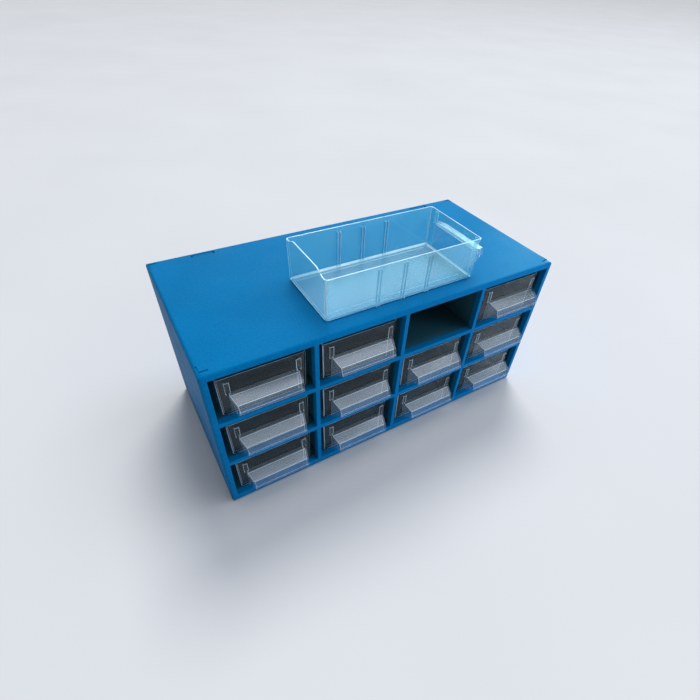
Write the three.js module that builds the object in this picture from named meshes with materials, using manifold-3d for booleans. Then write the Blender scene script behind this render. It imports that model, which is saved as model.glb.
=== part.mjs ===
// Parts organizer: a blue front frame, casing and back round dark inner plates, eleven clear
// drawers in their cells, and a twelfth lying on the casing.
// Millimetres. Origin at the middle of the casing's underside, +X right, +Y to the back, +Z up.
import * as THREE from "three";
import { mergeVertices } from "three/addons/utils/BufferGeometryUtils.js";
import Module from "manifold-3d";

const wasm = await Module();
wasm.setup();

// Casing
const WIDTH = 300;
const DEPTH = 140.5;
const HEIGHT = 138.7;
const FRONT = -DEPTH / 2;
const BACK = DEPTH / 2;
const CORNER_R = 2.5;
const CORNER_STEPS = 3;
const FRONT_EASE = 2;
const EASE_STEPS = 3;

// Front frame
const FRAME_DEPTH = 5;
const SIDE_RAIL = 5;
const DIVIDER = 3.6;
const TOP_RAIL = 4.9;
const SHELF_RAIL = 4;
const COLUMNS = 4;
const ROWS = 3;
const CELL_W = (WIDTH - 2 * SIDE_RAIL - (COLUMNS - 1) * DIVIDER) / COLUMNS;
const CELL_H = 39.6;
const COLUMN_PITCH = CELL_W + DIVIDER;
const ROW_PITCH = CELL_H + SHELF_RAIL;
const EMPTY_COLUMN = 2;
const EMPTY_ROW = 2;

// Walls and plates behind the frame
const SHELL_WALL = 2.5;
const PLATE = 2;
const LAP_GAP = 0.3;
const BACK_PANEL = 2;
const BACK_INSET = 2.6;
const TAB_W = 16.5;
const TAB_X = 107;
const TAB_GAP = 0.3;
const SLOT_END = 0.9;
const SLOT_FRONT = 0.8;

// Shallow marks near the four corners of the top
const MARK_SIDE = 1.6;
const MARK_FRONT = 4.4;
const MARK_BACK = 1.6;
const MARK_LEG = 6.5;
const MARK_W = 1.2;
const MARK_DEEP = 0.6;

// Drawer body, measured from the outside of its front wall and from its underside
const BODY_L = 131;
const RIM_HALF = 31.2;
const FOOT_HALF = 30.5;
const RIM_Z = 33.6;
const WALL = 1.4;
const FLOOR = 1.5;
const BODY_R = 3;
const BODY_STEPS = 3;
const FOOT_IN = 1.2;
const FOOT_Z = 1.3;
const END_DRAFT = 0.4;
const BACK_RISE = 3.3;
const RISE_START = 27.5;
const RISE_END = 17;
const RISE_STEPS = 4;

// Drawer pull
const PLATE_Z = 22.5;
const PLATE_LEVEL = 3.5;
const SLOPE_OUT = 12.1;
const SLOPE_Z = 19.1;
const LIP_OUT = 13.8;
const LIP_Z = 12.1;
const ROOT_HALF = 25.1;
const LIP_HALF = 22.7;
const PULL_WALL = 1.3;
const PULL_ROOT = 0.7;
const CHEEK_FOOT_Z = 0.8;
const CHEEK_EDGE = [
  [10.1, 11.1],
  [6.1, 8.5],
  [1.5, 2.4],
];
const HOLLOW_IN = 0.2;
const HOLLOW_UP = 0.3;
const BAND_IN = 0.6;
const BAND_DEEP = 0.9;
const BAND_LOW = 0.5;
const BAND_HIGH = 2.6;

// Label rails on the drawer's front wall
const RAIL_OUT = 26;
const RAIL_IN = 22.5;
const RAIL_LOW = 21;
const RAIL_HIGH = 31;
const RAIL_PROUD = 1.5;
const RAIL_SKIN = 0.7;

// Ribs that hold a divider, in pairs on each side wall
const RIB_CENTRES = [45.5, 67, 88.4];
const RIB_HALF_GAP = 1.2;
const RIB_T = 0.7;
const RIB_PROUD = 0.9;
const RIB_TOP = 30;

// How the drawers stand
const FRONT_SET_BACK = 3.7;
const DRAWER_LIFT = 0.3;
const LOOSE_X = 70;
const LOOSE_Y = -27.4;
const LOOSE_LIFT = 0.05;

const CUT = 1;

function solid(geometry) {
  const bare = geometry.index ? geometry.clone() : geometry;
  bare.deleteAttribute("normal");
  bare.deleteAttribute("uv");
  const merged = mergeVertices(bare, 1e-4);
  const vertProperties = new Float32Array(merged.attributes.position.array);
  const triVerts = new Uint32Array(merged.index.array);
  return new wasm.Manifold(new wasm.Mesh({ numProp: 3, vertProperties, triVerts }));
}

function box(x0, x1, y0, y1, z0, z1) {
  const geometry = new THREE.BoxGeometry(x1 - x0, y1 - y0, z1 - z0);
  geometry.translate((x0 + x1) / 2, (y0 + y1) / 2, (z0 + z1) / 2);
  return solid(geometry);
}

function polygon(points) {
  return new THREE.Shape(points.map(([u, v]) => new THREE.Vector2(u, v)));
}

// A rounded rectangle as a list of points, anticlockwise.
function roundedRing(u0, u1, v0, v1, radius, steps) {
  const corners = [
    [u1 - radius, v0 + radius, -Math.PI / 2],
    [u1 - radius, v1 - radius, 0],
    [u0 + radius, v1 - radius, Math.PI / 2],
    [u0 + radius, v0 + radius, Math.PI],
  ];
  const ring = [];
  for (const [u, v, start] of corners) {
    for (let i = 0; i <= steps; i++) {
      const angle = start + ((Math.PI / 2) * i) / steps;
      ring.push([u + radius * Math.cos(angle), v + radius * Math.sin(angle)]);
    }
  }
  return ring;
}

// A shape in the XZ plane, extruded along Y from y0 to y1.
function extrudeAlongY(shape, y0, y1) {
  const geometry = new THREE.ExtrudeGeometry(shape, { depth: y1 - y0, bevelEnabled: false });
  geometry.rotateX(Math.PI / 2);
  geometry.translate(0, y1, 0);
  return solid(geometry);
}

const upright = (u, v, along) => [u, v, along];
const toFront = (u, v, along) => [u, along, v];

// A closed skin through rings of equal length, each ring [points, distance along the third axis].
// Laying the rings towards the front swaps two axes, which turns every face round.
function loft(rings, place = upright) {
  const count = rings[0][0].length;
  const position = [];
  for (const [points, along] of rings) {
    for (const [u, v] of points) {
      position.push(...place(u, v, along));
    }
  }
  const index = [];
  for (let k = 0; k + 1 < rings.length; k++) {
    for (let i = 0; i < count; i++) {
      const a = k * count + i;
      const b = k * count + ((i + 1) % count);
      index.push(a, b, b + count, a, b + count, a + count);
    }
  }
  const top = (rings.length - 1) * count;
  for (let i = 1; i + 1 < count; i++) {
    index.push(0, i + 1, i);
    index.push(top, top + i, top + i + 1);
  }
  const mirrored = place === toFront;
  if (mirrored) {
    index.reverse();
  }
  const geometry = new THREE.BufferGeometry();
  geometry.setAttribute("position", new THREE.Float32BufferAttribute(position, 3));
  geometry.setIndex(index);
  return solid(geometry);
}

function mesh(name, manifold, material, matrix) {
  const made = manifold.getMesh();
  const geometry = new THREE.BufferGeometry();
  geometry.setAttribute("position", new THREE.BufferAttribute(made.vertProperties, 3));
  geometry.setIndex(new THREE.BufferAttribute(made.triVerts, 1));
  if (matrix) {
    geometry.applyMatrix4(matrix);
  }
  geometry.computeVertexNormals();
  const result = new THREE.Mesh(geometry, material());
  result.name = name;
  return result;
}

function bluePlastic() {
  return new THREE.MeshStandardMaterial({ color: 0x0a6aa6, roughness: 0.5, metalness: 0 });
}

function darkPlastic() {
  return new THREE.MeshStandardMaterial({ color: 0x141b1d, roughness: 0.6, metalness: 0 });
}

function clearPlastic() {
  const look = { color: 0xdde8ee, roughness: 0.06, metalness: 0 };
  return new THREE.MeshStandardMaterial({ ...look, transparent: true, opacity: 0.3 });
}

const columnX = (column) => (column - (COLUMNS - 1) / 2) * COLUMN_PITCH;
const cellFloor = (row) => HEIGHT - TOP_RAIL - CELL_H - (ROWS - 1 - row) * ROW_PITCH;

function outline(inset = 0) {
  const half = WIDTH / 2 - inset;
  return roundedRing(-half, half, inset, HEIGHT - inset, CORNER_R, CORNER_STEPS);
}

// L-shaped grooves, one near each corner of the top face.
function cornerMarks() {
  const marks = [];
  for (const sx of [-1, 1]) {
    for (const sy of [-1, 1]) {
      const x = sx * (WIDTH / 2 - MARK_SIDE);
      const y = sy < 0 ? FRONT + MARK_FRONT : BACK - MARK_BACK;
      const xs = [x, x - sx * MARK_LEG].sort((a, b) => a - b);
      const ys = [y, y - sy * MARK_LEG].sort((a, b) => a - b);
      const xw = [x, x - sx * MARK_W].sort((a, b) => a - b);
      const yw = [y, y - sy * MARK_W].sort((a, b) => a - b);
      const across = box(...xs, ...yw, HEIGHT - MARK_DEEP, HEIGHT + CUT);
      const along = box(...xw, ...ys, HEIGHT - MARK_DEEP, HEIGHT + CUT);
      marks.push(across.add(along));
    }
  }
  return marks.reduce((all, mark) => all.add(mark));
}

// The lattice at the front: outer rails, dividers and shelf rails in one plate.
function frontFrame() {
  const y1 = FRONT + FRAME_DEPTH;
  const rings = [];
  for (let i = 0; i <= EASE_STEPS; i++) {
    const angle = (Math.PI / 2) * (i / EASE_STEPS);
    const inset = FRONT_EASE * (1 - Math.sin(angle));
    rings.push([outline(inset), FRONT + FRONT_EASE * (1 - Math.cos(angle))]);
  }
  rings.push([outline(), y1]);
  let frame = loft(rings, toFront);
  for (let column = 0; column < COLUMNS; column++) {
    for (let row = 0; row < ROWS; row++) {
      const x = columnX(column);
      const z = cellFloor(row);
      const half = CELL_W / 2;
      frame = frame.subtract(box(x - half, x + half, FRONT - CUT, y1 + CUT, z, z + CELL_H));
    }
  }
  return frame.subtract(cornerMarks());
}

const PANEL_Y0 = BACK - BACK_INSET - BACK_PANEL;
const PLATE_Y0 = FRONT + FRAME_DEPTH;
const PLATE_MID = (PLATE_Y0 + PANEL_Y0) / 2;
const INNER_HALF = WIDTH / 2 - SHELL_WALL;
const INNER_TOP = HEIGHT - SHELL_WALL;

// Top, underside and both side walls, open at both ends, with a slot for each tab of the back.
function casingShell() {
  const outer = extrudeAlongY(polygon(outline()), PLATE_Y0, BACK);
  const hollow = box(-INNER_HALF, INNER_HALF, PLATE_Y0 - CUT, BACK + CUT, SHELL_WALL, INNER_TOP);
  let shell = outer.subtract(hollow).subtract(cornerMarks());
  for (const side of [-1, 1]) {
    const x0 = side * TAB_X - TAB_W / 2 - SLOT_END;
    const x1 = side * TAB_X + TAB_W / 2 + SLOT_END;
    const y1 = PANEL_Y0 + BACK_PANEL + TAB_GAP;
    const slot = box(x0, x1, PANEL_Y0 - SLOT_FRONT, y1, INNER_TOP - CUT, HEIGHT + CUT);
    shell = shell.subtract(slot);
  }
  return shell;
}

function backPanel() {
  const y1 = PANEL_Y0 + BACK_PANEL;
  let panel = box(-INNER_HALF, INNER_HALF, PANEL_Y0, y1, SHELL_WALL, INNER_TOP);
  for (const side of [-1, 1]) {
    const x = side * TAB_X;
    const tab = box(x - TAB_W / 2, x + TAB_W / 2, PANEL_Y0, y1, INNER_TOP - CUT, HEIGHT - TAB_GAP);
    panel = panel.add(tab);
  }
  return panel;
}

// An upright plate between two columns, slotted from the front where the shelves cross it.
function partition(column) {
  const x = columnX(column) + COLUMN_PITCH / 2;
  const half = PLATE / 2;
  let plate = box(x - half, x + half, PLATE_Y0, PANEL_Y0, SHELL_WALL, INNER_TOP);
  for (let row = 0; row < ROWS; row++) {
    const z1 = cellFloor(row) + LAP_GAP;
    const z0 = z1 - PLATE - 2 * LAP_GAP;
    plate = plate.subtract(box(x - PLATE, x + PLATE, PLATE_Y0 - CUT, PLATE_MID, z0, z1));
  }
  return plate;
}

// A level plate under one row, slotted from the back where the partitions cross it.
function shelf(row) {
  const z1 = cellFloor(row);
  const z0 = z1 - PLATE;
  let plate = box(-INNER_HALF, INNER_HALF, PLATE_Y0, PANEL_Y0, z0, z1);
  for (let column = 0; column + 1 < COLUMNS; column++) {
    const x = columnX(column) + COLUMN_PITCH / 2;
    const half = PLATE / 2 + LAP_GAP;
    const slot = box(x - half, x + half, PLATE_MID - LAP_GAP, PANEL_Y0 + CUT, z0 - CUT, z1 + CUT);
    plate = plate.subtract(slot);
  }
  return plate;
}

// The pull's section as [distance out from the front wall, height], drawn out from -1 to 1 and
// then widened to the half width that belongs to each distance.
function pullPrism(section, rootHalf, lipHalf) {
  const shape = polygon(section.map(([out, z]) => [-out, z]));
  const geometry = new THREE.ExtrudeGeometry(shape, { depth: 2, bevelEnabled: false });
  geometry.translate(0, 0, -1);
  const position = geometry.attributes.position;
  for (let i = 0; i < position.count; i++) {
    const out = -position.getX(i);
    const t = Math.min(Math.max((out - PLATE_LEVEL) / (SLOPE_OUT - PLATE_LEVEL), 0), 1);
    const half = rootHalf + (lipHalf - rootHalf) * t;
    position.setXYZ(i, position.getZ(i) * half, -out, position.getY(i));
  }
  return solid(geometry);
}

// A hood for the fingertips, open below, with a thin band along its lip.
function drawerPull() {
  const outer = [
    [-PULL_ROOT, PLATE_Z],
    [PLATE_LEVEL, PLATE_Z],
    [SLOPE_OUT, SLOPE_Z],
    [LIP_OUT, LIP_Z],
    ...CHEEK_EDGE,
    [-PULL_ROOT, CHEEK_FOOT_Z],
  ];
  const inner = [
    [0, PLATE_Z - PULL_WALL],
    [PLATE_LEVEL - HOLLOW_IN, PLATE_Z - PULL_WALL],
    [SLOPE_OUT - PULL_WALL, SLOPE_Z - PULL_WALL + HOLLOW_UP],
    [LIP_OUT - PULL_WALL, LIP_Z - CUT],
    [LIP_OUT - PULL_WALL, -CUT],
    [0, -CUT],
  ];
  const skin = pullPrism(outer, ROOT_HALF, LIP_HALF);
  const hollow = pullPrism(inner, ROOT_HALF - PULL_WALL, LIP_HALF - PULL_WALL);
  const bandHalf = LIP_HALF - BAND_IN;
  const band = box(-bandHalf, bandHalf, -LIP_OUT, BAND_DEEP - LIP_OUT, LIP_Z + BAND_LOW,
    LIP_Z + BAND_HIGH);
  return skin.subtract(hollow).add(band);
}

// Two L-shaped uprights that a label card slides behind.
function labelRails() {
  const rails = [];
  for (const side of [-1, 1]) {
    const foot = [side * RAIL_OUT, side * (RAIL_OUT - RAIL_SKIN)].sort((a, b) => a - b);
    const lid = [side * RAIL_OUT, side * RAIL_IN].sort((a, b) => a - b);
    const web = box(...foot, -RAIL_PROUD, WALL / 2, RAIL_LOW, RAIL_HIGH);
    const cover = box(...lid, -RAIL_PROUD, -RAIL_PROUD + RAIL_SKIN, RAIL_LOW, RAIL_HIGH);
    rails.push(web.add(cover));
  }
  return rails[0].add(rails[1]);
}

function dividerRibs() {
  const ribs = [];
  for (const side of [-1, 1]) {
    for (const centre of RIB_CENTRES) {
      for (const step of [-1, 1]) {
        const y = centre + step * RIB_HALF_GAP;
        const inside = FOOT_HALF - WALL - RIB_PROUD;
        const xs = [side * inside, side * (FOOT_HALF - WALL / 2)].sort((a, b) => a - b);
        ribs.push(box(...xs, y - RIB_T / 2, y + RIB_T / 2, FLOOR - WALL / 2, RIB_TOP));
      }
    }
  }
  return ribs.reduce((all, rib) => all.add(rib));
}

// The raised middle of the back wall, with an S-shaped ramp at each end.
function backRise() {
  const points = [
    [-RISE_START, RIM_Z - CUT],
    [RISE_START, RIM_Z - CUT],
  ];
  const ramp = (t) => [RISE_START + (RISE_END - RISE_START) * t, BACK_RISE * t * t * (3 - 2 * t)];
  for (let i = 0; i <= RISE_STEPS; i++) {
    const [x, rise] = ramp(i / RISE_STEPS);
    points.push([x, RIM_Z + rise]);
  }
  for (let i = RISE_STEPS; i >= 0; i--) {
    const [x, rise] = ramp(i / RISE_STEPS);
    points.push([-x, RIM_Z + rise]);
  }
  return polygon(points);
}

function drawerBody() {
  const ring = (half, y0, y1, radius) => roundedRing(-half, half, y0, y1, radius, BODY_STEPS);
  const outer = loft([
    [ring(FOOT_HALF - FOOT_IN, END_DRAFT + FOOT_IN, BODY_L - END_DRAFT - FOOT_IN, BODY_R), 0],
    [ring(FOOT_HALF, END_DRAFT, BODY_L - END_DRAFT, BODY_R), FOOT_Z],
    [ring(RIM_HALF, 0, BODY_L, BODY_R), RIM_Z],
  ]);
  const inR = BODY_R - WALL;
  const inner = loft([
    [ring(FOOT_HALF - WALL, END_DRAFT + WALL, BODY_L - END_DRAFT - WALL, inR), FLOOR],
    [ring(RIM_HALF - WALL, WALL, BODY_L - WALL, inR), RIM_Z + CUT],
  ]);
  return outer.subtract(inner).add(extrudeAlongY(backRise(), BODY_L - WALL, BODY_L));
}

const group = new THREE.Group();
group.name = "parts_organizer";
group.add(mesh("front_frame", frontFrame(), bluePlastic));
group.add(mesh("casing_shell", casingShell(), bluePlastic));
group.add(mesh("back_panel", backPanel(), bluePlastic));
for (let column = 0; column + 1 < COLUMNS; column++) {
  group.add(mesh(`partition_${column + 1}`, partition(column), darkPlastic));
}
for (let row = 0; row < ROWS; row++) {
  group.add(mesh(`shelf_${row + 1}`, shelf(row), darkPlastic));
}

const drawer = drawerBody().add(dividerRibs()).add(drawerPull()).add(labelRails());
for (let row = 0; row < ROWS; row++) {
  for (let column = 0; column < COLUMNS; column++) {
    if (row === EMPTY_ROW && column === EMPTY_COLUMN) {
      continue;
    }
    const z = cellFloor(row) + DRAWER_LIFT;
    const place = new THREE.Matrix4().makeTranslation(columnX(column), FRONT + FRONT_SET_BACK, z);
    group.add(mesh(`drawer_r${row + 1}c${column + 1}`, drawer, clearPlastic, place));
  }
}
const quarterTurn = new THREE.Matrix4().makeRotationZ(Math.PI / 2);
const ontoTop = new THREE.Matrix4().makeTranslation(LOOSE_X, LOOSE_Y, HEIGHT + LOOSE_LIFT);
group.add(mesh("loose_drawer", drawer, clearPlastic, ontoTop.multiply(quarterTurn)));

export default group;
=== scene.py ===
"""Looks for the parts organizer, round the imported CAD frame. Metres, +Z up, +Y to the back."""

import math

import bmesh
import bpy
from mathutils import Matrix, Vector


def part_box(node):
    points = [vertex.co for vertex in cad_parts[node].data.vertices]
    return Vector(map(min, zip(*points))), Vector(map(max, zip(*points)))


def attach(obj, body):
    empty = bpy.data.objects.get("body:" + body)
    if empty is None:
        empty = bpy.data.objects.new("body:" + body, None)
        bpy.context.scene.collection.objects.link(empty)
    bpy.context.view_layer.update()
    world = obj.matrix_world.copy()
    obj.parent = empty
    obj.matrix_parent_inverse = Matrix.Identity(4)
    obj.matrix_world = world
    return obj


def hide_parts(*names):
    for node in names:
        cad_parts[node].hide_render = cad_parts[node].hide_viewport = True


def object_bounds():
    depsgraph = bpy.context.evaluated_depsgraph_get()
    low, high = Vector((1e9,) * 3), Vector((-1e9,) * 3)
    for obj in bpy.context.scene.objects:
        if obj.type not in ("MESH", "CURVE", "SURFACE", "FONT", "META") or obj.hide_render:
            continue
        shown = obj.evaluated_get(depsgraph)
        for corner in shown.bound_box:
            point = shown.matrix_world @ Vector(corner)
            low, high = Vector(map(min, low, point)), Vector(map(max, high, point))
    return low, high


MM = 0.001

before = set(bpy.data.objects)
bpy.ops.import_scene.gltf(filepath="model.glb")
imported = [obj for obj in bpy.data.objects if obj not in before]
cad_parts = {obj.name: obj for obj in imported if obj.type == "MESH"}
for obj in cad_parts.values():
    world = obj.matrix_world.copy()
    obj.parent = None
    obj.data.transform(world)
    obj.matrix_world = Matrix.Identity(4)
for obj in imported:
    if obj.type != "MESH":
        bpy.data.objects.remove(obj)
cad_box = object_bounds()

# Casing, in millimetres
RAIL_SIDE = 5.0
RAIL_TOP = 4.9
RAIL_SHELF = 4.0
DIVIDER = 3.6
CELL_H = 39.6
COLUMNS = 4
ROWS = 3
SHELL_WALL = 2.5
FRAME_DEPTH = 5.0
EDGE_LONG = 2.5
EDGE_FRONT = 2.0
EDGE_REAR = 0.5
EDGE_CELL = 0.45
EDGE_SEGMENTS = 4
MARK_SIDE = 1.6
MARK_FRONT = 4.4
MARK_BACK = 1.6
MARK_LEG = 6.5
MARK_W = 1.2
MARK_DEEP = 0.6
TAB_W = 16.5
TAB_X = 107.0
TAB_GAP = 0.3
SLOT_END = 0.9
SLOT_FRONT = 0.8
CUT_OVER = 1.0
CUT_R = 0.2

# Drawer, in millimetres, from its front wall's outer face and its underside
BODY_L = 131.0
RIM_HALF = 31.2
FOOT_HALF = 30.5
RIM_Z = 33.6
WALL = 1.4
FLOOR = 1.5
BODY_R = 3.0
FOOT_R = 2.4
INNER_R = 1.3
CORNER_R_LEAST = 0.25
END_DRAFT = 0.4
RIM_R = 0.45
RIM_BAND = 2.9
CORNER_STEPS = 7
FOOT_STEPS = 5
RIM_STEPS = 6
INNER_STEPS = 4
BACK_RISE = 3.3
RISE_BAND = 3.0
RISE_START = 0.968
RISE_END = 0.60
RISE_STEPS = 8
PLATE_Z = 22.5
PLATE_LEVEL = 3.5
SLOPE_OUT = 12.1
SLOPE_Z = 19.1
LIP_OUT = 13.8
LIP_Z = 12.1
ROOT_HALF = 25.1
LIP_HALF = 22.7
PULL_WALL = 1.3
PULL_ROOT = 0.7
PULL_BELLY = ((10.1, 11.1), (6.1, 8.5), (1.5, 2.4))
PULL_FOOT_Z = 0.9
HOLLOW_IN = 0.02
HOLLOW_BACK = 0.2
HOLLOW_UP = 0.3
HOLLOW_LIP = 1.0
HOLLOW_LOW = -3.0
PULL_R = 0.6
PULL_SEGMENTS = 3
HOLLOW_R = 0.3
BAND_IN = 0.6
BAND_DEEP = 0.9
BAND_LOW = 0.5
BAND_HIGH = 2.6
BAND_R = 0.12
POST_OUT = 26.0
POST_IN = 22.5
POST_LOW = 21.0
POST_HIGH = 31.0
POST_PROUD = 1.5
POST_SKIN = 0.7
POST_R = 0.2
RIB_CENTRES = (45.5, 67.0, 88.4)
RIB_HALF_GAP = 1.2
RIB_T = 0.7
RIB_PROUD = 0.9
RIB_SUNK = 0.5
RIB_TOP = 30.0
RIB_R = 0.24
NUB_DEEP = 1.6
NUB_TOP = 1.9
NUB_EASE = 0.05
NUB_R = 0.15
RIDGE_X = 23.5
RIDGE_W = 0.9
RIDGE_H = 0.35
RIDGE_FRONT = 9.0
RIDGE_BACK = 1.5
RIDGE_SUNK = 0.5
RIDGE_R = 0.15

# Where the drawer's body gets its painted highlights, its satin floor and the ribs' painted shade:
# heights in millimetres, and how level a face is
REAR_RIM = 2.0
RIM_OVER = 0.01
RIM_LEVEL = 0.9
FOOT_BAND = (0.25, 1.3)
FOOT_LEVEL = (0.45, 0.9)
INNER_BAND = (0.15, 0.8)
INNER_LEVEL = (0.4, 0.9)
UPRIGHT_TURN = 0.68
FLOOR_BAND = 0.1
FLOOR_LEVEL = 0.95
SIDE_LEVEL = 0.9
PLATE_LEAST = 0.5

# Rounding and shading: angles in degrees
SMOOTH_ANGLE = 32
BEVEL_ANGLE = 20
BOX_SEGMENTS = 2

# Telling the casing's edges apart: the least turn in radians, then millimetres
TURN_LEAST = 0.5
RUN_LEAST = 1.0
NEAR = 0.01

# Plastics: noise scales per metre, bump heights in metres
DRIFT_SCALE = 14
PIT_SCALE = 620
PIT_STRENGTH = 0.25
PIT_HEIGHT = 0.0003
SPECK = 0.16
RUB_SCALE = 38
RUB_DULL = 0.05
RUB_SHINY = 0.07
GRAIN_SCALE = 1400
GRAIN_STRENGTH = 0.35
GRAIN_HEIGHT = 0.0002
SMUDGE_SCALE = 45
HAZE_ROUGHNESS = 0.35
HAZE_LEAST = 0.7
HAZE_MOST = 1.4
GLANCE_POWER = 5.0

# Finishes of the clear plastic
GLOSSY = {"gloss_low": 0.02, "gloss_high": 0.05}
EDGY = {"gloss_low": 0.06, "gloss_high": 0.12, "shine": 0.02}
SATIN = {"haze": 0.012, "gloss_low": 0.34, "gloss_high": 0.42, "shine": 0.065}

# Stage: the floor's half width in millimetres, and its gap below the part in metres
FLOOR_REACH = 30000
FLOOR_GAP = 0.0002

# The drawer's material slots
CLEAR_WALL = 0
# Slot for the painted highlight on edges
CLEAR_EDGE_HIGHLIGHT = 1
CLEAR_SATIN = 2
CLEAR_PULL = 3
CLEAR_PLATE = 4
# Slot for the painted shade on the ribs' faces that look along Y
CLEAR_RIB_SHADE = 5
# Slot for the fainter painted highlight on the low edges
CLEAR_LOW_HIGHLIGHT = 6

# The casing's second material slot, for its dark inside
CASING_INSIDE = 1

# The materials that every new mesh starts with, by index
PAINTS = []

# ---------------------------------------------------------------- mesh helpers


def new_object(name, bm):
    """A mesh object from a bmesh drawn in millimetres."""
    bmesh.ops.recalc_face_normals(bm, faces=bm.faces)
    bmesh.ops.scale(bm, vec=(MM, MM, MM), verts=bm.verts)
    mesh = bpy.data.meshes.new(name)
    bm.to_mesh(mesh)
    bm.free()
    obj = bpy.data.objects.new(name, mesh)
    bpy.context.scene.collection.objects.link(obj)
    smooth(mesh)
    for made in PAINTS:
        mesh.materials.append(made)
    return obj


def smooth(mesh):
    """Shades a mesh smooth, but for its sharp edges."""
    for face in mesh.polygons:
        face.use_smooth = True
    mesh.set_sharp_from_angle(angle=math.radians(SMOOTH_ANGLE))


def applied(obj):
    """Puts an object's modifiers into its mesh."""
    graph = bpy.context.evaluated_depsgraph_get()
    mesh = bpy.data.meshes.new_from_object(obj.evaluated_get(graph))
    obj.modifiers.clear()
    obj.data = mesh
    smooth(mesh)


def flatten_normals(obj):
    """Leans the shading on the big faces, so that flat walls reflect as planes."""
    modifier = obj.modifiers.new("normals", "WEIGHTED_NORMAL")
    modifier.mode = "FACE_AREA"
    modifier.weight = 100
    modifier.keep_sharp = True
    graph = bpy.context.evaluated_depsgraph_get()
    mesh = bpy.data.meshes.new_from_object(obj.evaluated_get(graph))
    obj.modifiers.clear()
    obj.data = mesh


def boolean(obj, other, operation):
    """Joins other to obj, or cuts it out, and removes other."""
    modifier = obj.modifiers.new("cut", "BOOLEAN")
    modifier.object = other
    modifier.operation = operation
    modifier.solver = "MANIFOLD"
    applied(obj)
    bpy.data.objects.remove(other)


def box_verts(bm, x0, x1, y0, y1, z0, z1):
    """A closed box added to a bmesh. Returns its faces."""
    corners = [(x, y, z) for z in (z0, z1) for y in (y0, y1) for x in (x0, x1)]
    v = [bm.verts.new(c) for c in corners]
    quads = [(0, 2, 3, 1), (4, 5, 7, 6), (0, 1, 5, 4), (2, 6, 7, 3), (0, 4, 6, 2), (1, 3, 7, 5)]
    return [bm.faces.new([v[i] for i in q]) for q in quads]


def bevel_sharp(bm, offset, segments, highlight_material=-1):
    """Rounds every edge whose faces meet at more than the bevel angle. The rounds can take their
    own slot, for a painted highlight.
    """
    sharp = [e for e in bm.edges if len(e.link_faces) == 2
             and e.calc_face_angle(0) > math.radians(BEVEL_ANGLE)]
    bmesh.ops.bevel(bm, geom=sharp, offset=offset, offset_type="OFFSET", segments=segments,
                    profile=0.5, affect="EDGES", clamp_overlap=True, material=highlight_material)


def rounded_box(name, x0, x1, y0, y1, z0, z1, radius, slot=0, highlight_slot=-1, painted_shade_slot=None):
    """A box with rounded edges. The rounds can take their own slot, for a painted highlight, and
    the two faces that look along Y another, for painted shade.
    """
    bm = bmesh.new()
    for face in box_verts(bm, x0, x1, y0, y1, z0, z1):
        face.material_index = slot
    bmesh.ops.recalc_face_normals(bm, faces=bm.faces)
    bm.normal_update()
    if painted_shade_slot is not None:
        for face in bm.faces:
            if abs(face.normal.y) > SIDE_LEVEL:
                face.material_index = painted_shade_slot
    bevel_sharp(bm, radius, BOX_SEGMENTS, highlight_material=highlight_slot)
    return new_object(name, bm)


def skin_rings(bm, rings):
    """A skin through rings of equal length, capped at both ends."""
    rows = [[bm.verts.new(p) for p in ring] for ring in rings]
    count = len(rows[0])
    for low, high in zip(rows, rows[1:]):
        for i in range(count):
            j = (i + 1) % count
            bm.faces.new((low[i], low[j], high[j], high[i]))
    bm.faces.new(list(reversed(rows[0])))
    bm.faces.new(rows[-1])


# ---------------------------------------------------------------- drawer


def clamp(value):
    return min(max(value, 0), 1)


def arc(steps, degrees):
    """The angles, in radians, of the points along an arc from 0 to degrees."""
    return [math.radians(degrees * k / steps) for k in range(steps + 1)]


def drawer_ring(half, y0, y1, radius, height):
    """A rounded rectangle round the drawer, with extra points along its back for the raised rim."""
    radius = max(radius, CORNER_R_LEAST)
    points = []
    corners = ((half - radius, y0 + radius, -90), (half - radius, y1 - radius, 0),
               (-half + radius, y1 - radius, 90), (-half + radius, y0 + radius, 180))
    fall = RISE_END - RISE_START
    along_back = [RISE_START + fall * i / RISE_STEPS for i in range(RISE_STEPS + 1)]
    along_back += [-t for t in reversed(along_back)]
    raised = height > RIM_Z - RISE_BAND
    for k, (cx, cy, start) in enumerate(corners):
        for i in range(CORNER_STEPS + 1):
            a = math.radians(start + 90 * i / CORNER_STEPS)
            points.append((cx + radius * math.cos(a), cy + radius * math.sin(a), height))
        if k == 1:
            reach = half - radius
            for t in along_back:
                s = clamp((RISE_START - abs(t)) / (RISE_START - RISE_END))
                rise = BACK_RISE * s * s * (3 - 2 * s) if raised else 0
                points.append((t * reach, y1, height + rise))
    return points


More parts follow.
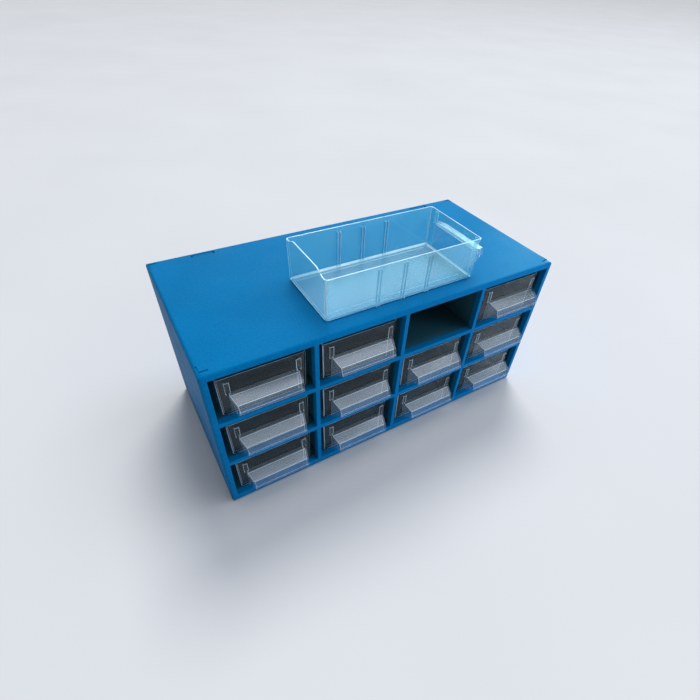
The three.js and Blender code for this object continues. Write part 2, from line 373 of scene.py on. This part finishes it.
def drawer_body():
    """The tray: one closed skin over the outside, the rounded rim and the inside."""
    rings = []

    def ring(inset, z, radius):
        t = clamp(z / RIM_Z)
        half = FOOT_HALF + (RIM_HALF - FOOT_HALF) * t - inset
        end = END_DRAFT * (1 - t) + inset
        rings.append(drawer_ring(half, end, BODY_L - end, radius, z))

    for a in arc(FOOT_STEPS, 90):
        inset = FOOT_R * (1 - math.sin(a))
        ring(inset, FOOT_R * (1 - math.cos(a)), BODY_R - inset * 0.5)
    ring(0, RIM_Z * 0.5, BODY_R)
    ring(0, RIM_Z - RIM_BAND, BODY_R)
    for a in arc(RIM_STEPS, 180):
        inset = WALL / 2 - (WALL / 2) * math.cos(a)
        ring(inset, RIM_Z - RIM_R + RIM_R * math.sin(a), BODY_R - inset)
    ring(WALL, RIM_Z - RIM_BAND, BODY_R - WALL)
    ring(WALL, RIM_Z * 0.5, BODY_R - WALL)
    for a in arc(INNER_STEPS, 90):
        inset = WALL + INNER_R * (1 - math.cos(a))
        ring(inset, FLOOR + INNER_R * (1 - math.sin(a)), BODY_R - WALL)
    bm = bmesh.new()
    skin_rings(bm, rings)
    bmesh.ops.recalc_face_normals(bm, faces=bm.faces)
    bm.normal_update()
    # Faces where the edges would gather light get a painted highlight, a fainter one low down
    # behind the front; flat floor faces get the satin finish.
    for face in bm.faces:
        middle = face.calc_center_median()
        if gets_painted_highlight(middle, face):
            low = middle.z < 2 * FLOOR and middle.y > BODY_R
            face.material_index = CLEAR_LOW_HIGHLIGHT if low else CLEAR_EDGE_HIGHLIGHT
        elif middle.z < FLOOR + FLOOR_BAND and abs(face.normal.z) > FLOOR_LEVEL:
            face.material_index = CLEAR_SATIN
    return new_object("drawer_body", bm)


def gets_painted_highlight(p, face):
    """The top of the rim, the lower edges inside and out, and the upright corners get a painted
    highlight, standing in for the light they would gather.
    """
    if len(face.verts) > 4:
        return False
    level = abs(face.normal.z)
    on_back_rim = p.y > BODY_L - REAR_RIM and p.z > RIM_Z + RIM_OVER
    if (p.z > RIM_Z - RIM_R or on_back_rim) and level > RIM_LEVEL:
        return True
    if FOOT_BAND[0] < p.z < FOOT_BAND[1] and FOOT_LEVEL[0] < level < FOOT_LEVEL[1]:
        return True
    above = p.z - FLOOR
    if INNER_BAND[0] < above < INNER_BAND[1] and INNER_LEVEL[0] < level < INNER_LEVEL[1]:
        return True
    return min(abs(face.normal.x), abs(face.normal.y)) > UPRIGHT_TURN


def pull_prism(name, section, root_half, lip_half, radius, segments):
    """A section drawn across the pull's width, narrowing from root to lip, with rounded edges."""
    bm = bmesh.new()
    left = [bm.verts.new((-1, -out, z)) for out, z in section]
    right = [bm.verts.new((1, -out, z)) for out, z in section]
    bm.faces.new(left)
    bm.faces.new(list(reversed(right)))
    for i in range(len(section)):
        j = (i + 1) % len(section)
        bm.faces.new((left[j], left[i], right[i], right[j]))
    for out in (PLATE_LEVEL, SLOPE_OUT):
        geom = list(bm.verts) + list(bm.edges) + list(bm.faces)
        bmesh.ops.bisect_plane(bm, geom=geom, plane_co=(0, -out, 0), plane_no=(0, 1, 0))
    for v in bm.verts:
        t = clamp((-v.co.y - PLATE_LEVEL) / (SLOPE_OUT - PLATE_LEVEL))
        v.co.x *= root_half + (lip_half - root_half) * t
    bmesh.ops.recalc_face_normals(bm, faces=bm.faces)
    for face in bm.faces:
        face.material_index = CLEAR_PLATE if face.normal.z > PLATE_LEAST else CLEAR_PULL
    # The pull's rounded edges get a painted highlight.
    bevel_sharp(bm, radius, segments, highlight_material=CLEAR_EDGE_HIGHLIGHT)
    return new_object(name, bm)


def drawer_pull():
    """The hooded finger pull: a skin, open below, with a raised band along its lip."""
    outer = ((-PULL_ROOT, PLATE_Z), (PLATE_LEVEL, PLATE_Z), (SLOPE_OUT, SLOPE_Z), (LIP_OUT, LIP_Z),
             *PULL_BELLY, (-PULL_ROOT, PULL_FOOT_Z))
    inner_lip = LIP_OUT - PULL_WALL
    inner = ((-HOLLOW_IN, PLATE_Z - PULL_WALL), (PLATE_LEVEL - HOLLOW_BACK, PLATE_Z - PULL_WALL),
             (SLOPE_OUT - PULL_WALL, SLOPE_Z - PULL_WALL + HOLLOW_UP),
             (inner_lip, LIP_Z - HOLLOW_LIP), (inner_lip, HOLLOW_LOW), (-HOLLOW_IN, HOLLOW_LOW))
    skin = pull_prism("pull", outer, ROOT_HALF, LIP_HALF, PULL_R, PULL_SEGMENTS)
    hollow = pull_prism("hollow", inner, ROOT_HALF - PULL_WALL, LIP_HALF - PULL_WALL, HOLLOW_R,
                        BOX_SEGMENTS)
    boolean(skin, hollow, "DIFFERENCE")
    half = LIP_HALF - BAND_IN
    # The band's rounded edges get a painted highlight.
    band = rounded_box("band", -half, half, -LIP_OUT, -LIP_OUT + BAND_DEEP, LIP_Z + BAND_LOW,
                       LIP_Z + BAND_HIGH, BAND_R, slot=CLEAR_PULL, highlight_slot=CLEAR_EDGE_HIGHLIGHT)
    boolean(skin, band, "UNION")
    return skin


def add_label_rail(body, side):
    """An L-shaped upright rail on the front wall, which holds one end of a label."""
    web = sorted((side * POST_OUT, side * (POST_OUT - POST_SKIN)))
    lid = sorted((side * POST_OUT, side * POST_IN))
    # The rail's rounded edges get a painted highlight.
    post = rounded_box("post", *web, -POST_PROUD, WALL / 2, POST_LOW, POST_HIGH, POST_R,
                       highlight_slot=CLEAR_EDGE_HIGHLIGHT)
    cover = rounded_box("cover", *lid, -POST_PROUD, -POST_PROUD + POST_SKIN, POST_LOW, POST_HIGH,
                        POST_R, highlight_slot=CLEAR_EDGE_HIGHLIGHT)
    boolean(post, cover, "UNION")
    boolean(body, post, "UNION")


def add_rib(body, side, y):
    """One divider rib on the inside of a side wall, and its small foot below the floor's edge."""
    ys = (y - RIB_T / 2, y + RIB_T / 2)
    xs = sorted((side * (FOOT_HALF - WALL - RIB_PROUD), side * (FOOT_HALF - RIB_SUNK)))
    # The rib's and the nub's rounded edges get a painted highlight, and the rib's faces that look
    # along Y get painted shade.
    rib = rounded_box("rib", *xs, *ys, FLOOR - WALL / 2, RIB_TOP, RIB_R, highlight_slot=CLEAR_EDGE_HIGHLIGHT,
                      painted_shade_slot=CLEAR_RIB_SHADE)
    boolean(body, rib, "UNION")
    xs = sorted((side * (FOOT_HALF - NUB_DEEP), side * (FOOT_HALF - NUB_EASE)))
    nub = rounded_box("nub", *xs, *ys, NUB_EASE, NUB_TOP, NUB_R, highlight_slot=CLEAR_EDGE_HIGHLIGHT)
    boolean(body, nub, "UNION")


def build_drawer():
    """One drawer moulding, drawn once: its mesh is copied to every place."""
    body = drawer_body()
    boolean(body, drawer_pull(), "UNION")
    for side in (-1, 1):
        add_label_rail(body, side)
        for centre in RIB_CENTRES:
            for step in (-1, 1):
                add_rib(body, side, centre + step * RIB_HALF_GAP)
        middle = side * RIDGE_X
        # The floor ridge's rounded edges get the fainter painted highlight.
        ridge = rounded_box("ridge", middle - RIDGE_W / 2, middle + RIDGE_W / 2, RIDGE_FRONT,
                            BODY_L - RIDGE_BACK, FLOOR - RIDGE_SUNK, FLOOR + RIDGE_H, RIDGE_R,
                            highlight_slot=CLEAR_LOW_HIGHLIGHT)
        boolean(body, ridge, "UNION")
    flatten_normals(body)
    return body


# ---------------------------------------------------------------- materials


def material(name):
    """A new material, its nodes, its links and its principled shader."""
    made = bpy.data.materials.new(name)
    made.use_nodes = True
    nodes = made.node_tree.nodes
    links = made.node_tree.links
    return made, nodes, links, nodes["Principled BSDF"]


def noise(nodes, links, coords, scale, detail, rough=0.55):
    """Noise over the object's own coordinates."""
    node = nodes.new("ShaderNodeTexNoise")
    node.inputs["Scale"].default_value = scale
    node.inputs["Detail"].default_value = detail
    node.inputs["Roughness"].default_value = rough
    links.new(coords.outputs["Object"], node.inputs["Vector"])
    return node


def ramp(nodes, links, source, stops):
    """Turns a value into a colour through stops of (position, colour)."""
    node = nodes.new("ShaderNodeValToRGB")
    elements = node.color_ramp.elements
    while len(elements) < len(stops):
        elements.new(0.5)
    for element, (position, colour) in zip(elements, stops):
        element.position = position
        element.color = (*colour, 1)
    links.new(source, node.inputs["Fac"])
    return node


def grey(value):
    return (value, value, value)


def bump(nodes, links, shader, height, strength, distance, before=None):
    """Bump on a shader, laid over an earlier bump node if there is one."""
    node = nodes.new("ShaderNodeBump")
    node.inputs["Strength"].default_value = strength
    node.inputs["Distance"].default_value = distance
    links.new(height, node.inputs["Height"])
    if before:
        links.new(before.outputs["Normal"], node.inputs["Normal"])
    links.new(node.outputs["Normal"], shader.inputs["Normal"])
    return node


def textured_plastic(name, dark, light, roughness, sand=1.0, gloss=0.1, spec_tint=(1, 1, 1)):
    """Moulded plastic with a fine sandy skin, slow colour drift and faint rubbed patches.

    dark and light are the ends of the drift, sand the strength of the skin's grain, gloss the
    share of light it mirrors, and spec_tint the mirror's colour.
    """
    made, nodes, links, shader = material(name)
    coords = nodes.new("ShaderNodeTexCoord")
    drift = noise(nodes, links, coords, DRIFT_SCALE, 3)
    tint = ramp(nodes, links, drift.outputs["Fac"], ((0.3, dark), (0.75, light)))
    pits = noise(nodes, links, coords, PIT_SCALE, 3)
    speck = ramp(nodes, links, pits.outputs["Fac"],
                 ((0.35, grey(1 - SPECK * sand)), (0.65, grey(1.0))))
    speckled = nodes.new("ShaderNodeVectorMath")
    speckled.operation = "MULTIPLY"
    links.new(tint.outputs["Color"], speckled.inputs[0])
    links.new(speck.outputs["Color"], speckled.inputs[1])
    links.new(speckled.outputs["Vector"], shader.inputs["Base Color"])
    rub = noise(nodes, links, coords, RUB_SCALE, 6, 0.65)
    worn = ramp(nodes, links, rub.outputs["Fac"],
                ((0.35, grey(roughness + RUB_DULL)), (0.72, grey(roughness - RUB_SHINY))))
    links.new(worn.outputs["Color"], shader.inputs["Roughness"])
    grain = noise(nodes, links, coords, GRAIN_SCALE, 2)
    fine = bump(nodes, links, shader, grain.outputs["Fac"], GRAIN_STRENGTH * sand, GRAIN_HEIGHT)
    bump(nodes, links, shader, pits.outputs["Fac"], PIT_STRENGTH * sand, PIT_HEIGHT, fine)
    shader.inputs["Specular IOR Level"].default_value = gloss
    shader.inputs["Specular Tint"].default_value = (*spec_tint, 1)
    return made


def clear_plastic(name, body, haze, gloss_low, gloss_high, shine, cloud=(0.72, 0.86, 0.93),
                  sheen=(0.95, 0.97, 1.0)):
    """Clear polystyrene: see-through, with a gloss that grows at glancing angles and a thin haze.

    body is the colour that passes through, haze how much of the surface scatters light, and cloud
    the colour it scatters. The mirror's roughness lies between gloss_low and gloss_high, shine is
    the share it takes when seen square on, and sheen its colour.
    """
    made, nodes, links, shader = material(name)
    coords = nodes.new("ShaderNodeTexCoord")
    smudge = noise(nodes, links, coords, SMUDGE_SCALE, 5, 0.6)
    gloss = ramp(nodes, links, smudge.outputs["Fac"],
                 ((0.4, grey(gloss_low)), (0.8, grey(gloss_high))))
    shader.inputs["Base Color"].default_value = (*cloud, 1)
    shader.inputs["Roughness"].default_value = HAZE_ROUGHNESS
    clear = nodes.new("ShaderNodeBsdfTransparent")
    clear.inputs["Color"].default_value = (*body, 1)
    mirror = nodes.new("ShaderNodeBsdfGlossy")
    mirror.inputs["Color"].default_value = (*sheen, 1)
    links.new(gloss.outputs["Color"], mirror.inputs["Roughness"])
    facing = nodes.new("ShaderNodeLayerWeight")
    facing.inputs["Blend"].default_value = 0.5
    curve = nodes.new("ShaderNodeMath")
    curve.operation = "POWER"
    curve.inputs[1].default_value = GLANCE_POWER
    links.new(facing.outputs["Facing"], curve.inputs[0])
    fresnel = nodes.new("ShaderNodeMapRange")
    fresnel.inputs["To Min"].default_value = shine
    fresnel.inputs["To Max"].default_value = 1.0
    links.new(curve.outputs["Value"], fresnel.inputs["Value"])
    fog = nodes.new("ShaderNodeMixShader")
    veil = ramp(nodes, links, smudge.outputs["Fac"],
                ((0.3, grey(haze * HAZE_LEAST)), (0.8, grey(haze * HAZE_MOST))))
    links.new(veil.outputs["Color"], fog.inputs["Fac"])
    links.new(clear.outputs["BSDF"], fog.inputs[1])
    links.new(shader.outputs["BSDF"], fog.inputs[2])
    mixed = nodes.new("ShaderNodeMixShader")
    links.new(fresnel.outputs["Result"], mixed.inputs["Fac"])
    links.new(fog.outputs["Shader"], mixed.inputs[1])
    links.new(mirror.outputs["BSDF"], mixed.inputs[2])
    links.new(mixed.outputs["Shader"], nodes["Material Output"].inputs["Surface"])
    return made


# ---------------------------------------------------------------- casing


def grid_lines():
    """The X and Z lines of the front lattice, with the casing's middle at x = 0."""
    low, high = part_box("front_frame")
    width = (high[0] - low[0]) / MM
    height = (high[2] - low[2]) / MM
    cell = (width - 2 * RAIL_SIDE - (COLUMNS - 1) * DIVIDER) / COLUMNS
    xs = [-width / 2]
    x = -width / 2 + RAIL_SIDE
    for _ in range(COLUMNS):
        xs += [x, x + cell]
        x += cell + DIVIDER
    xs.append(width / 2)
    z = height - RAIL_TOP - ROWS * CELL_H - (ROWS - 1) * RAIL_SHELF
    zs = [0]
    for _ in range(ROWS):
        zs += [z, z + CELL_H]
        z += CELL_H + RAIL_SHELF
    zs.append(height)
    return xs, zs


def lattice(bm, xs, ix, zs, iz, y0, y1):
    """The front lattice with its open cells. Returns its front and rear vertices by grid place."""
    front = {(i, k): bm.verts.new((x, y0, z)) for i, x in enumerate(xs) for k, z in enumerate(zs)}
    rear = {(i, k): bm.verts.new((x, y1, z)) for i, x in enumerate(ix) for k, z in enumerate(iz)}
    for i in range(len(xs) - 1):
        for k in range(len(zs) - 1):
            a, b = (i, k), (i + 1, k)
            c, d = (i + 1, k + 1), (i, k + 1)
            if i % 2 == 1 and k % 2 == 1:
                for p, q in ((a, b), (b, c), (c, d), (d, a)):
                    bm.faces.new((front[p], front[q], rear[q], rear[p]))
            else:
                bm.faces.new((front[a], front[b], front[c], front[d]))
                face = bm.faces.new((rear[a], rear[d], rear[c], rear[b]))
                face.material_index = CASING_INSIDE
    return front, rear


def weigh_edges(bm, half, height, y0, y1, y2):
    """Gives each of the casing's edges its share of the largest rounding."""
    weight = bm.edges.layers.float.new("bevel_weight_edge")

    def at_side(v):
        return abs(abs(v.x) - half) < NEAR

    def at_level(v):
        return min(v.z, height - v.z) < NEAR

    for e in bm.edges:
        a, b = (v.co for v in e.verts)
        if len(e.link_faces) != 2 or e.calc_face_angle(0) <= TURN_LEAST:
            continue
        on_front = abs(a.y - y0) < NEAR and abs(b.y - y0) < NEAR
        on_rear = abs(a.y - y2) < NEAR and abs(b.y - y2) < NEAR
        runs_back = abs(a.y - b.y) > RUN_LEAST
        if runs_back and all(at_side(v) and at_level(v) for v in (a, b)):
            e[weight] = 1.0
        elif (on_front or on_rear) and all(at_side(v) or at_level(v) for v in (a, b)):
            e[weight] = (EDGE_FRONT if on_front else EDGE_REAR) / EDGE_LONG
        elif on_front or runs_back and max(a.y, b.y) < y1 + NEAR:
            e[weight] = EDGE_CELL / EDGE_LONG


def casing():
    """Front lattice, top, underside and sides in one seamless skin."""
    xs, zs = grid_lines()
    y0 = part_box("front_frame")[0][1] / MM
    y1 = y0 + FRAME_DEPTH
    y2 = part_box("casing_shell")[1][1] / MM
    half, height = xs[-1], zs[-1]
    ix = [-half + SHELL_WALL] + xs[1:-1] + [half - SHELL_WALL]
    iz = [SHELL_WALL] + zs[1:-1] + [height - SHELL_WALL]
    bm = bmesh.new()
    front, rear = lattice(bm, xs, ix, zs, iz, y0, y1)
    nx, nz = len(xs), len(zs)
    loop = ([(i, 0) for i in range(nx)] + [(nx - 1, k) for k in range(1, nz)]
            + [(i, nz - 1) for i in range(nx - 2, -1, -1)] + [(0, k) for k in range(nz - 2, 0, -1)])
    out_back = {p: bm.verts.new((front[p].co.x, y2, front[p].co.z)) for p in loop}
    in_back = {p: bm.verts.new((rear[p].co.x, y2, rear[p].co.z)) for p in loop}
    for p, q in zip(loop, loop[1:] + loop[:1]):
        bm.faces.new((front[p], front[q], out_back[q], out_back[p]))
        bm.faces.new((out_back[p], out_back[q], in_back[q], in_back[p]))
        face = bm.faces.new((rear[p], rear[q], in_back[q], in_back[p]))
        face.material_index = CASING_INSIDE
    bmesh.ops.recalc_face_normals(bm, faces=bm.faces)
    bm.normal_update()
    weigh_edges(bm, half, height, y0, y1, y2)
    obj = new_object("casing", bm)
    bevel = obj.modifiers.new("edges", "BEVEL")
    bevel.width = EDGE_LONG * MM
    bevel.segments = EDGE_SEGMENTS
    bevel.limit_method = "WEIGHT"
    applied(obj)
    cut_marks(obj, half, y0, y2, height)
    flatten_normals(obj)
    return obj


def cut_marks(obj, half, y0, y2, height):
    """L-shaped marks near the corners of the top, and the slots of the back's tabs."""
    depth = (height - MARK_DEEP, height + CUT_OVER)
    for sx in (-1, 1):
        for yy, sy in ((y0 + MARK_FRONT, -1), (y2 - MARK_BACK, 1)):
            x = sx * (half - MARK_SIDE)
            across = sorted((x, x - sx * MARK_LEG)), sorted((yy, yy - sy * MARK_W))
            along = sorted((x, x - sx * MARK_W)), sorted((yy, yy - sy * MARK_LEG))
            first = rounded_box("mark", *across[0], *across[1], *depth, CUT_R)
            second = rounded_box("mark2", *along[0], *along[1], *depth, CUT_R)
            boolean(first, second, "UNION")
            boolean(obj, first, "DIFFERENCE")
    low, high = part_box("back_panel")
    for side in (-1, 1):
        x = side * TAB_X
        slot = rounded_box("slot", x - TAB_W / 2 - SLOT_END, x + TAB_W / 2 + SLOT_END,
                           low[1] / MM - SLOT_FRONT, high[1] / MM + TAB_GAP,
                           height - SHELL_WALL - CUT_OVER, height + CUT_OVER, CUT_R)
        boolean(obj, slot, "DIFFERENCE")


# ---------------------------------------------------------------- build

blue = textured_plastic("blue_textured_plastic", (0.0, 0.133, 0.325), (0.0, 0.157, 0.373), 0.54,
                        gloss=0.07, spec_tint=(0.05, 0.8, 1.0))
dark = textured_plastic("dark_inner_plastic", (0.020, 0.078, 0.10), (0.026, 0.10, 0.13), 0.7,
                        sand=0.5)
clear_wall = clear_plastic("clear_polystyrene", (0.94, 0.965, 0.975), haze=0.0015, shine=0.02,
                           **GLOSSY)
# Painted highlight for the edges: a thick whitish haze.
clear_edge_highlight = clear_plastic("clear_polystyrene_edge_painted_highlight", (0.80, 0.88, 0.91), haze=0.8, **EDGY)
clear_satin = clear_plastic("clear_polystyrene_satin", (0.94, 0.97, 0.98), **SATIN)
clear_pull = clear_plastic("clear_polystyrene_pull", (0.93, 0.96, 0.975), haze=0.05, shine=0.025,
                           cloud=(0.80, 0.88, 0.94), **GLOSSY)
clear_plate = clear_plastic("clear_polystyrene_plate", (0.94, 0.97, 0.98), **SATIN)
# Painted shade for the ribs' faces that look along Y: less light passes through.
clear_rib_shade = clear_plastic("clear_polystyrene_rib_painted_shade", (0.45, 0.66, 0.76), haze=0.01, shine=0.02,
                           **GLOSSY)
# A fainter painted highlight for the low edges inside.
clear_low_highlight = clear_plastic("clear_polystyrene_low_edge_painted_highlight", (0.86, 0.92, 0.94), haze=0.16, **EDGY)
# The loose drawer's walls carry a painted cyan sheen: a thicker cyan haze.
loose_wall_painted_sheen = clear_plastic("clear_polystyrene_sheen_painted", (0.93, 0.965, 0.975), haze=0.135,
                           shine=0.02, cloud=(0.35, 0.87, 0.96), **GLOSSY)
# The loose drawer's floor has its reflections tinted cyan, a painted sheen.
loose_satin_painted_sheen = clear_plastic("clear_polystyrene_sheen_painted_satin", (0.94, 0.97, 0.98),
                            sheen=(0.72, 0.95, 1.0), **SATIN)

PAINTS[:] = [blue, dark]
shell = casing()
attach(shell, "casing")
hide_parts("front_frame", "casing_shell")

for name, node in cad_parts.items():
    inner = name.startswith(("partition", "shelf"))
    if inner or name == "back_panel":
        for index in range(len(node.data.materials)):
            node.data.materials[index] = dark if inner else blue

PAINTS[:] = [clear_wall, clear_edge_highlight, clear_satin, clear_pull, clear_plate, clear_rib_shade, clear_low_highlight]
pattern = build_drawer()
drawer_mesh = pattern.data
bpy.data.objects.remove(pattern)

for name in [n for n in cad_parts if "drawer" in n]:
    low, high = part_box(name)
    mesh = drawer_mesh.copy()
    if name == "loose_drawer":
        # It lies with its pull to the right. Its walls and floor carry a painted cyan sheen, and
        # its low edges the brighter painted highlight.
        place = Matrix.Translation((high[0] - LIP_OUT * MM, (low[1] + high[1]) / 2, low[2]))
        mesh.transform(place @ Matrix.Rotation(math.pi / 2, 4, "Z"))
        mesh.materials[CLEAR_WALL] = loose_wall_painted_sheen
        mesh.materials[CLEAR_SATIN] = loose_satin_painted_sheen
        mesh.materials[CLEAR_LOW_HIGHLIGHT] = clear_edge_highlight
    else:
        place = Matrix.Translation(((low[0] + high[0]) / 2, low[1] + LIP_OUT * MM, low[2]))
        mesh.transform(place)
    piece = bpy.data.objects.new("clear_" + name, mesh)
    bpy.context.scene.collection.objects.link(piece)
    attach(piece, name)
    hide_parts(name)


# ---------------------------------------------------------------- stage


def floor_material():
    """A pale matt grey with a faint drift."""
    made, nodes, links, shader = material("pale_floor")
    coords = nodes.new("ShaderNodeTexCoord")
    drift = noise(nodes, links, coords, 3, 2)
    tone = ramp(nodes, links, drift.outputs["Fac"], ((0.3, grey(0.63)), (0.7, grey(0.66))))
    links.new(tone.outputs["Color"], shader.inputs["Base Color"])
    shader.inputs["Roughness"].default_value = 0.9
    return made


def add_floor():
    """A plain level floor just below the part. Returns it."""
    bm = bmesh.new()
    reach = FLOOR_REACH
    corners = ((-reach, -reach), (reach, -reach), (reach, reach), (-reach, reach))
    bm.faces.new([bm.verts.new((x, y, 0)) for x, y in corners])
    PAINTS[:] = [floor_material()]
    floor = new_object("floor", bm)
    floor.location.z = cad_box[0][2] - FLOOR_GAP
    return floor


def add_area(name, location, size, watts, colour, target=None, spared=None, mirrored=True):
    """A soft light. size is its width and depth. It faces straight down, or towards target.

    The object in spared isn't lit by it. If it isn't mirrored, no glossy surface shows it.
    """
    light = bpy.data.lights.new(name, "AREA")
    light.shape = "RECTANGLE"
    light.size, light.size_y = size
    light.energy = watts
    light.color = colour
    obj = bpy.data.objects.new(name, light)
    obj.location = location
    if target is not None:
        way = Vector(location) - Vector(target)
        obj.rotation_euler = way.to_track_quat("Z", "Y").to_euler()
    if spared is not None:
        lit = bpy.data.collections.new(name + "_receivers")
        lit.objects.link(spared)
        lit.collection_objects[0].light_linking.link_state = "EXCLUDE"
        obj.light_linking.receiver_collection = lit
    obj.visible_glossy = mirrored
    bpy.context.scene.collection.objects.link(obj)


def add_sun(name, strength, direction, degrees):
    """A distant light that comes from direction, degrees wide."""
    light = bpy.data.lights.new(name, "SUN")
    light.energy = strength
    light.angle = math.radians(degrees)
    obj = bpy.data.objects.new(name, light)
    obj.rotation_euler = Vector(direction).to_track_quat("Z", "Y").to_euler()
    bpy.context.scene.collection.objects.link(obj)


def add_world(strength, colour):
    """Soft light from all round. The camera sees a plain pale grey in its place."""
    world = bpy.data.worlds.new("studio")
    world.use_nodes = True
    nodes = world.node_tree.nodes
    links = world.node_tree.links
    back = nodes["Background"]
    back.inputs["Color"].default_value = (*colour, 1)
    back.inputs["Strength"].default_value = strength
    backdrop = nodes.new("ShaderNodeBackground")
    backdrop.inputs["Color"].default_value = (0.66, 0.68, 0.70, 1)
    path = nodes.new("ShaderNodeLightPath")
    pick = nodes.new("ShaderNodeMixShader")
    links.new(path.outputs["Is Camera Ray"], pick.inputs["Fac"])
    links.new(back.outputs["Background"], pick.inputs[1])
    links.new(backdrop.outputs["Background"], pick.inputs[2])
    links.new(pick.outputs["Shader"], nodes["World Output"].inputs["Surface"])
    bpy.context.scene.world = world


def add_camera():
    """The camera, above the front left corner and looking down to the right."""
    data = bpy.data.cameras.new("camera")
    data.lens = 22.41
    data.sensor_width = 36
    data.shift_x = -0.0192
    data.shift_y = 0.0226
    data.clip_start = 0.01
    camera = bpy.data.objects.new("camera", data)
    camera.location = (-0.16582, -0.26518, 0.32190)
    camera.rotation_euler = (math.radians(46.342), math.radians(-3.033), math.radians(-30.818))
    bpy.context.scene.collection.objects.link(camera)
    bpy.context.scene.camera = camera


floor = add_floor()
add_world(0.36, (0.84, 0.91, 1.0))
add_sun("sun", 1.9, (0.30, 0.45, 0.85), 24)
add_sun("fill", 0.5, (0.75, -0.60, 0.35), 60)
add_area("overhead", (2.1, -0.4, 5.0), (5.0, 2.4), 135, (0.79, 0.86, 1.0))
add_area("window", (1.14, 2.56, 1.15), (1.8, 1.2), 20, (0.45, 0.95, 1.0), target=(0, 0, 0.14),
         spared=floor)
add_area("right", (0.62, 0.15, 0.26), (0.3, 0.3), 3.4, (0.5, 1.0, 0.92), target=(0.08, 0, 0.13),
         spared=floor)
add_area("front", (0.66, -0.56, 0.24), (0.35, 0.35), 5.0, (0.35, 0.7, 1.0),
         target=(0.1, -0.07, 0.08), spared=floor, mirrored=False)
add_camera()
bpy.context.scene.view_settings.view_transform = "Standard"
